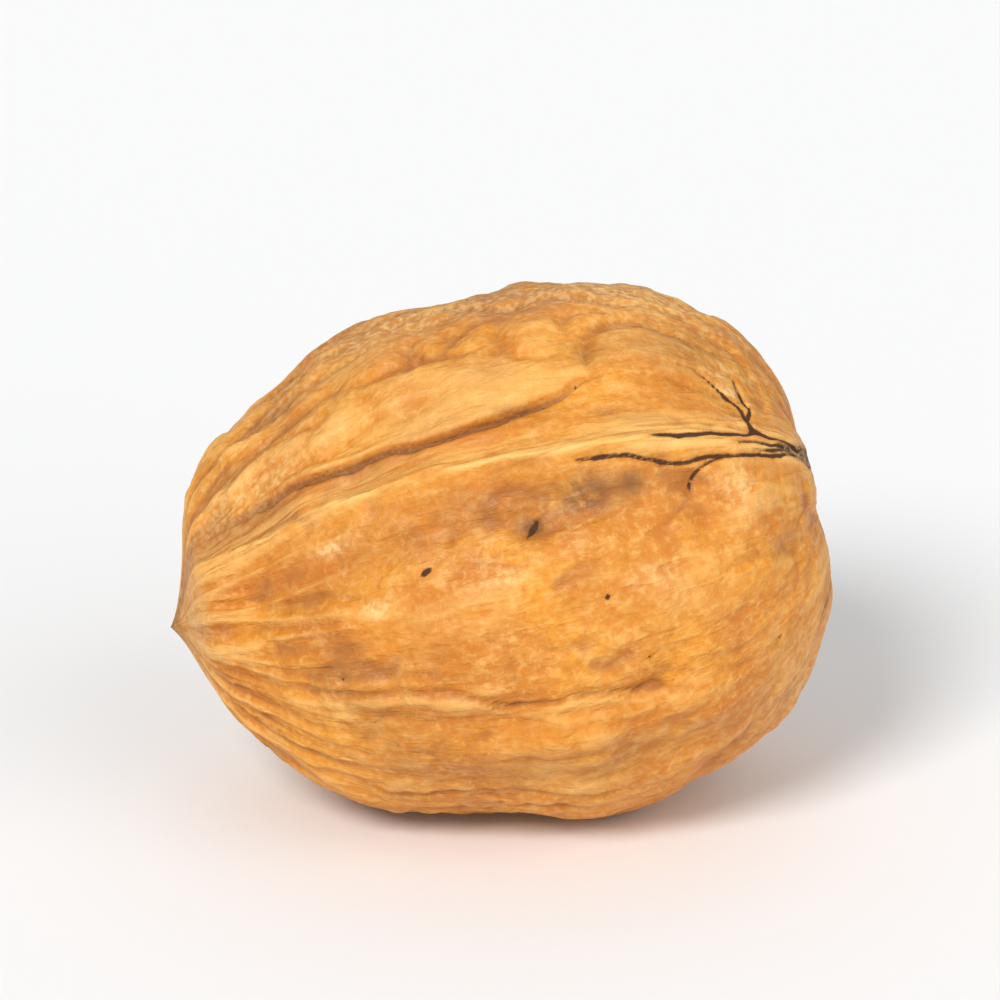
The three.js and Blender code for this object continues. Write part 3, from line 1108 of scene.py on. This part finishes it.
@dataclass(frozen=True)
class Heights:
    """How high each kind of relief stands, in millimetres.

    Attributes:
        lumps: Broad lumps.
        sunk: Wrinkles that run along the shell: everywhere, and added in patches.
        raised: Raised lines that run along the shell.
        net: Fine net of lines, in patches.
        fine: The finest wrinkles along the shell.
        dimple: Small dimples.
        keel: The sharp edge of a seam.
        valley: The narrow valley beside it.
        strands: The loose strands beside it.
        pleats: Pleats round the stem end.
        fan: The ridges at the tip, and what they stand over.
        forks: The finer ridges further out, and what they stand over.
        wander: How far creases and seams stray from their lines.
        cork: Crumbs of cork, and how deep the cork lies.
        cork_rim: The lip round the cork.
        split: Depth of cracks and pits.
    """

    lumps: float = 0.46
    sunk: tuple[float, float] = (0.08, 0.2)
    raised: float = 0.12
    net: float = 0.17
    fine: float = 0.06
    dimple: float = 0.05
    keel: float = 0.32
    valley: float = 0.24
    strands: float = 0.16
    pleats: float = 0.32
    fan: tuple[float, float] = (0.8, 0.38)
    forks: tuple[float, float] = (0.66, 0.27)
    wander: float = 0.22
    cork: tuple[float, float] = (0.28, 0.42)
    cork_rim: float = 0.12
    split: float = 0.32


@dataclass
class Walnut:
    """The whole nut: one closed shell.

    Attributes:
        body: The shape that it shares with the solid model.
        lie: How it lies.
        finish: What its surface looks like.
        rows: Rings of vertices along the shell.
        columns: Vertices of a ring.
        seam_crowding: How much closer the vertices stand at the seams.
        seed: Which random wrinkles it has.
        heights: How high its relief stands.
    """

    body: NutBody = field(default_factory=NutBody)
    lie: Lie = field(default_factory=Lie)
    finish: ShellFinish = field(default_factory=ShellFinish)
    rows: int = 226
    columns: int = 438
    seam_crowding: float = 0.38
    seed: int = 11
    heights: Heights = field(default_factory=Heights)

    def noise(self, number: int) -> LatticeNoise:
        """One of the nut's own noises."""
        return LatticeNoise(self.seed + number)

    def far_creases(self) -> list[Crease]:
        """Creases of the hidden cheek: long, slightly wavy lines at uneven bearings, random but fixed.

        Returns:
            The creases.
        """
        draws = np.random.default_rng(self.seed)
        found = []
        for bearing in np.arange(92, 278, 11.5):
            start, length = draws.uniform(8, 24), draws.uniform(12, 26)
            line = bearing + draws.uniform(-4, 4) + np.cumsum(draws.uniform(-3.2, 3.2, 5))
            path = tuple(zip(start + length * np.linspace(0, 1, 5), line.tolist()))
            lip = Lip.UPPER if draws.random() < 0.5 else Lip.LOWER
            depth, rise = draws.uniform(0.12, 0.34), draws.uniform(0.08, 0.3)
            found.append(Crease(path, depth, draws.uniform(0.28, 0.42), rise, draws.uniform(1.0, 2.0), lip))
        return found

    def wrinkles(self, grid: ShellGrid) -> tuple[Array, Array]:
        """Relief that covers the whole shell, in millimetres.

        Lumps and dimples are plain noise. Wrinkles are narrow vein lines of noise stretched along the shell,
        some sunk and some raised, over finer stretched noise. All of it dies away at the two ends.

        Args:
            grid: The shell's grid.

        Returns:
            The lumps, which don't colour the shell, and the finer relief, which paints shade into the colour
            of its hollows and highlight onto its ridges.
        """
        high, ends = self.heights, ease(grid.mean, 0.3, 6)
        warp = np.stack([self.noise(k).at(grid.smooth / 5.0) for k in (1, 2, 3)], -1)
        lumps = high.lumps * self.noise(4).layered(grid.smooth / 6.5, 3)
        sunk = self.noise(5).veins(grid.stretched(12, 3.6) + 0.5 * warp, 5)
        raised = self.noise(6).veins(grid.stretched(8, 2.3) + 0.4 * warp, 7)
        net = self.noise(7).veins(grid.smooth / 2.9 + 0.5 * warp, 6)
        fine = self.noise(8).layered(grid.stretched(3.4, 1.0) + 0.3 * warp, 2)
        dimple = self.noise(9).layered(grid.smooth / 1.7, 2)
        patchy = ease(self.noise(10).at(grid.smooth / 8.0), -0.45, 0.35)
        relief = (high.sunk[0] + high.sunk[1] * patchy) * -sunk
        relief = relief + high.raised * raised - high.net * net * patchy
        return lumps * ends, (relief + high.fine * fine + high.dimple * dimple) * ends

    def seam_detail(self, grid: ShellGrid, arc: Array) -> tuple[Array, Array]:
        """The fine shape of one seam: a sharp keel, and a narrow valley with loose strands on its upper side.

        The keel widens into a band where the seam begins to crack, and the valley ends there.

        Args:
            grid: The shell's grid.
            arc: Distance from the crest, around the nut.

        Returns:
            Heights in millimetres, and how pale each vertex is, from 0 to 1.
        """
        cracked = ease(grid.along, 29, 39)
        ends = ease(grid.along, 3, 8) * (1 - ease(grid.along, 49, 53))
        keel = bell(arc, 0.24 + 0.5 * cracked) * ends
        valley = bell(arc - 1.5, 0.7) * ends * (1 - cracked)
        band = bell(arc - 0.9, 0.9 + 0.5 * cracked) * ends
        strands = self.noise(15).layered(grid.stretched(13, 0.9), 2, 0.6)
        high = self.heights
        relief = high.keel * keel - high.valley * valley + high.strands * strands * band
        return relief, np.clip(keel + 0.65 * band, 0, 1)

    def pleats(self, grid: ShellGrid) -> Array:
        """Radial pleats round the stem end, and a fan of ridges at the tip that fork as it widens.

        Args:
            grid: The shell's grid.

        Returns:
            Heights in millimetres: noise that changes fast with the bearing and slowly along the shell, faded
            by distance.
        """
        from_stem = grid.whole - grid.along
        stem = ease(from_stem, 1.2, 4.5) * (1 - ease(from_stem, 6, 15))
        inner = ease(grid.along, 0.3, 1.7) * (1 - ease(grid.along, 6, 13))
        outer = ease(grid.along, 1.5, 5) * (1 - ease(grid.along, 10, 23))
        radial = self.noise(20).layered(grid.stretched(16, 2.9), 2, 0.45)
        rays = self.noise(21).veins(grid.stretched(40, 5.5), 3)
        forks = self.noise(22).veins(grid.stretched(24, 3.0), 4)
        high = self.heights
        fan = inner * (high.fan[0] * rays - high.fan[1]) + outer * (high.forks[0] * forks - high.forks[1])
        return high.pleats * stem * radial + fan

    def gaps(self, grid: ShellGrid) -> tuple[Array, Array]:
        """Distance of each vertex from the nearest crack or pit, and from the nearest cork.

        Args:
            grid: The shell's grid.

        Returns:
            Two arrays of gaps in millimetres, less than zero inside.
        """
        places = grid.smooth.reshape(-1, 3)
        shift = np.stack([self.noise(k).layered(places / 1.3, 2) for k in (30, 31, 32)], -1)
        places = places + 0.09 * shift
        crack = np.min([rent.gap(grid, self.body, places) for rent in CRACKS], axis=0)
        cork = np.min([rent.gap(grid, self.body, places) for rent in CORK], axis=0)
        for along, bearing, size in PITS:
            station, angle = grid.station_at(np.array(along)), np.radians(bearing)
            middle = self.body.place(station, angle, self.body.mean_radius(station, angle))
            crack = np.minimum(crack, np.linalg.norm(places - middle, axis=1) - size)
        return crack.reshape(grid.mean.shape), cork.reshape(grid.mean.shape)

    def offset(self, grid: ShellGrid, plain: Array) -> Array:
        """How far the solid model's shell, worked out here, has to move to stand in the CAD node's box.

        Args:
            grid: The shell's grid.
            plain: Relief of the solid model.

        Returns:
            A shift in millimetres that matches the middle in X and Y, and the top in Z.
        """
        shell = self.lie.turned(self.body.place(grid.station, grid.bearing, grid.mean + plain)).reshape(-1, 3)
        low, high = (np.array(corner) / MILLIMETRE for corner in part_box("walnut"))
        middle = (low + high - shell.min(0) - shell.max(0)) / 2
        return np.array([middle[0], middle[1], high[2] - shell[:, 2].max()])

    def surface(self, grid: ShellGrid, plain: Array) -> tuple[Array, dict[str, Array]]:
        """Adds up everything that stands out of the shell or sinks into it.

        The sum of all relief is held back under the cork, which has a rough surface of its own.

        Args:
            grid: The shell's grid.
            plain: Relief of the solid model.

        Returns:
            The distance of each vertex from the long axis, and the marks that the material reads, by name.
        """
        body, high = self.body, self.heights
        lumps, wrinkles = self.wrinkles(grid)
        wander = high.wander * self.noise(40).layered(grid.smooth / 2.4, 2)
        creases = [crease.relief(grid, wander) for crease in (*NEAR_CREASES, *self.far_creases())]
        folded = sum(relief for relief, _ in creases)
        # The crease marks carry painted shade for the floors of the creases.
        groove = np.max([depth for _, depth in creases], axis=0)
        bow = body.seam_bow(grid.station)
        seams = [turn(grid.bearing - line) * grid.mean + 0.5 * wander for line in (bow, math.pi - bow)]
        seam, pale = (sum(parts) for parts in zip(*(self.seam_detail(grid, arc) for arc in seams)))
        places = grid.smooth.reshape(-1, 3) + 0.3 * wander.reshape(-1, 1)
        dints = sum(dint.relief(grid, body, places) for dint in DINTS).reshape(grid.mean.shape)
        bulges = sum(patch.mask(grid) for patch in BULGES)
        crack, cork = self.gaps(grid)
        in_cork = 1 - ease(cork, -0.14, 0.1)
        crumbs = self.noise(50).layered(grid.smooth / 0.8, 2, 0.6)
        torn = in_cork * (high.cork[0] * crumbs - high.cork[1]) + high.cork_rim * bell(cork - 0.3, 0.3)
        split = -high.split * (1 - ease(crack, -0.02, 0.2))
        swell = wrinkles + folded + dints + self.pleats(grid)
        calm = 1 - 0.85 * in_cork
        radius = grid.mean + plain + (lumps + bulges + seam + swell) * calm + torn + split
        # The swell mark paints colour from the relief: shade into its hollows, and highlights onto its raised
        # parts, the bulges included.
        swell = swell + 0.5 * bulges - 0.25 * dints
        marks = {"swell": swell, "groove": groove**1.6, "keel": pale, "crack_gap": crack, "cork_gap": cork}
        for name, patches in (("stain_and_lip_shade", STAINS_AND_LIP_SHADE), ("amber", AMBERS_AND_SHADE), ("chalk", CHALKS)):
            marks[name] = np.clip(sum(patch.mask(grid) for patch in patches), 0, 1)
        return radius, marks

    def build(self) -> bpy.types.Object:
        """Works out the shell's surface and its marks, and puts them into one mesh.

        Returns:
            The nut's object, at the origin, with its place in its mesh.
        """
        body, grid = self.body, ShellGrid.over(self.body, self.rows, self.columns, self.seam_crowding)
        plain = body.relief(grid)
        radius, marks = self.surface(grid, plain)
        shell = self.lie.turned(body.place(grid.station, grid.bearing, np.maximum(radius, 0.02)))
        ends = self.lie.turned(body.place(np.array([0.0, 1.0]), np.zeros(2), np.zeros(2)))
        shift = self.offset(grid, plain)
        shell, ends = shell + shift, ends + shift
        shell[..., 2] = np.maximum(shell[..., 2], 0.0)
        mesh = closed_mesh("walnut_shell", shell * MILLIMETRE, ends * MILLIMETRE)
        for name, values in marks.items():
            self.carry(mesh, name, values)
        run = grid.stretched(1, 1) * MILLIMETRE
        held = np.vstack([run.reshape(-1, 3), [[0, 0, 0]], [[grid.whole * MILLIMETRE, 0, 0]]])
        attribute = mesh.attributes.new("shell_run", "FLOAT_VECTOR", "POINT")
        attribute.data.foreach_set("vector", held.astype(np.float32).ravel())
        self.unwrap(mesh, grid)
        return placed("walnut_shell", mesh)

    def carry(self, mesh: bpy.types.Mesh, name: str, values: Array) -> None:
        """Writes one number for each vertex into the mesh; each end point gets the mean of its ring.

        Args:
            mesh: The nut's mesh.
            name: The attribute's name.
            values: The numbers, one row a ring.
        """
        full = np.broadcast_to(values, (self.rows, self.columns))
        held = np.concatenate([full.ravel(), [full[0].mean(), full[-1].mean()]])
        attribute = mesh.attributes.new(name, "FLOAT", "POINT")
        attribute.data.foreach_set("value", held.astype(np.float32))

    def unwrap(self, mesh: bpy.types.Mesh, grid: ShellGrid) -> None:
        """Lays the shell out flat: the distance from the tip runs along U, and the bearing along V.

        Args:
            mesh: The nut's mesh.
            grid: The shell's grid.
        """
        rows, columns = self.rows, self.columns
        u = np.repeat(grid.along[:, 0] / grid.whole, columns).reshape(rows, columns)
        v = np.broadcast_to((grid.bearing + math.pi) / FULL_TURN, (rows, columns))
        next_v = np.concatenate([v[:, 1:], np.ones((rows, 1))], 1)
        middle = (v[0] + next_v[0]) / 2
        first, last = (np.stack([np.full(columns, k), middle], -1) for k in (0.0, 1.0))
        corners = face_corners(np.stack([u, v], -1), np.stack([u, next_v], -1), first, last)
        layer = mesh.uv_layers.new(name="OFBake")
        layer.uv.foreach_set("vector", corners.astype(np.float32).ravel())

    def make(self) -> bpy.types.Object:
        """Builds and dresses the nut, and puts it in the place of the CAD node.

        Returns:
            The nut's object.
        """
        nut = self.build()
        nut.data.materials.append(self.finish.material(fibre_grain_group(), cork_tissue_group()))
        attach(nut, "root")
        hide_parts("walnut")
        return nut


# ---- the studio


def direction(azimuth: float, elevation: float) -> Vector:
    """The unit vector towards an azimuth, in degrees from the front to the right, and an elevation."""
    side, up = math.radians(azimuth), math.radians(elevation)
    return Vector((math.sin(side) * math.cos(up), -math.cos(side) * math.cos(up), math.sin(up)))


@dataclass(frozen=True)
class Lamp:
    """A very wide soft light, as from a large diffuser a long way off.

    Attributes:
        name: What the light is.
        azimuth: Where it stands round the nut, in degrees from the front towards the right.
        height: How high it stands, in degrees.
        power: How much light it gives a surface that faces it.
        width: How wide it looks, in degrees.
    """

    name: str
    azimuth: float
    height: float
    power: float
    width: float

    def hang(self) -> None:
        """Adds the light to the scene."""
        data = bpy.data.lights.new(self.name, "SUN")
        data.energy = self.power
        data.angle = math.radians(self.width)
        towards = direction(self.azimuth, self.height)
        placed(self.name, data).rotation_euler = towards.to_track_quat("Z", "Y").to_euler()


@dataclass
class Studio:
    """Pale floor, soft light and the camera.

    Attributes:
        floor_size: Side of the floor in metres.
        sky: Strength of the light that comes from all round.
        sky_tone: Colour of that light.
        backdrop: Tone of what is behind the floor.
        azimuth: Where the camera stands, in degrees from the front towards the right.
        elevation: How high it looks from, in degrees.
        lens: Focal length in millimetres.
        fill: How much of the picture's width the nut's length takes up.
        drop: How far below the middle of the picture the nut sits, as a share of its width.
        clip: The nearest and the farthest distance that the camera shows, in metres.
    """

    floor_size: float = 12.0
    sky: float = 0.4
    sky_tone: Colour = (1.0, 0.99, 0.98)
    backdrop: Colour = (0.956, 0.961, 0.963)
    azimuth: float = -6.0
    elevation: float = 20.0
    lens: float = 300.0
    fill: float = 0.66
    drop: float = 0.05
    clip: tuple[float, float] = (0.01, 100.0)
    lamps: tuple[Lamp, ...] = (
        Lamp("key_light", -30, 38, 2.24, 20),
        Lamp("fill_light", 40, 28, 0.95, 60),
        Lamp("back_light", 170, 50, 0.3, 60),
    )

    def lay_floor(self) -> None:
        """Adds the floor: one flat square whose middle is under the nut."""
        half = self.floor_size / 2
        corners = [(-half, -half, 0), (half, -half, 0), (half, half, 0), (-half, half, 0)]
        mesh = bpy.data.meshes.new("studio_floor")
        mesh.from_pydata(corners, [], [(0, 1, 2, 3)])
        mesh.materials.append(FloorFinish().material())
        placed("studio_floor", mesh)

    def light(self) -> None:
        """Adds the lamps, and a world that lights evenly and shows the backdrop behind the floor."""
        for lamp in self.lamps:
            lamp.hang()
        world = bpy.data.worlds.new("studio")
        bpy.context.scene.world = world
        world.use_nodes = True
        world.node_tree.nodes.clear()
        graph = Graph(world.node_tree)
        seen = graph.node("ShaderNodeLightPath").outputs["Is Camera Ray"]
        glow = graph.node("ShaderNodeBackground", {"Color": solid(self.sky_tone), "Strength": self.sky})
        back = graph.node("ShaderNodeBackground", {"Color": solid(self.backdrop), "Strength": 1.0})
        mixed = graph.node("ShaderNodeMixShader", {0: seen, 1: glow.outputs[0], 2: back.outputs[0]})
        graph.node("ShaderNodeOutputWorld", {0: mixed.outputs[0]})

    def aim(self) -> None:
        """Sets the camera so that the nut's length takes up its share of the picture."""
        low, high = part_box("walnut")
        back = direction(self.azimuth, self.elevation)
        data = bpy.data.cameras.new("camera")
        data.lens = self.lens
        data.clip_start, data.clip_end = self.clip
        shown = (high.x - low.x) / self.fill
        distance = shown / 2 / math.tan(math.atan(data.sensor_width / 2 / self.lens))
        camera = placed("camera", data)
        camera.rotation_mode = "QUATERNION"
        camera.rotation_quaternion = (-back).to_track_quat("-Z", "Y")
        upward = camera.rotation_quaternion @ Vector((0, 1, 0))
        camera.location = (low + high) / 2 + back * distance + upward * (self.drop * shown)
        bpy.context.scene.camera = camera

    def make(self) -> None:
        """Sets up the floor, the light and the camera."""
        self.lay_floor()
        self.light()
        self.aim()
        bpy.context.scene.view_settings.view_transform = "Standard"


def main() -> None:
    """Builds the studio and the nut, and logs each piece."""
    logging.basicConfig(level=logging.INFO, format="%(message)s")
    studio = Studio()
    studio.make()
    log.info("studio: floor, %d lamps and camera", len(studio.lamps))
    nut = Walnut().make()
    log.info("%s: %d vertices, %d faces", nut.name, len(nut.data.vertices), len(nut.data.polygons))


if __name__ == "__main__":
    main()
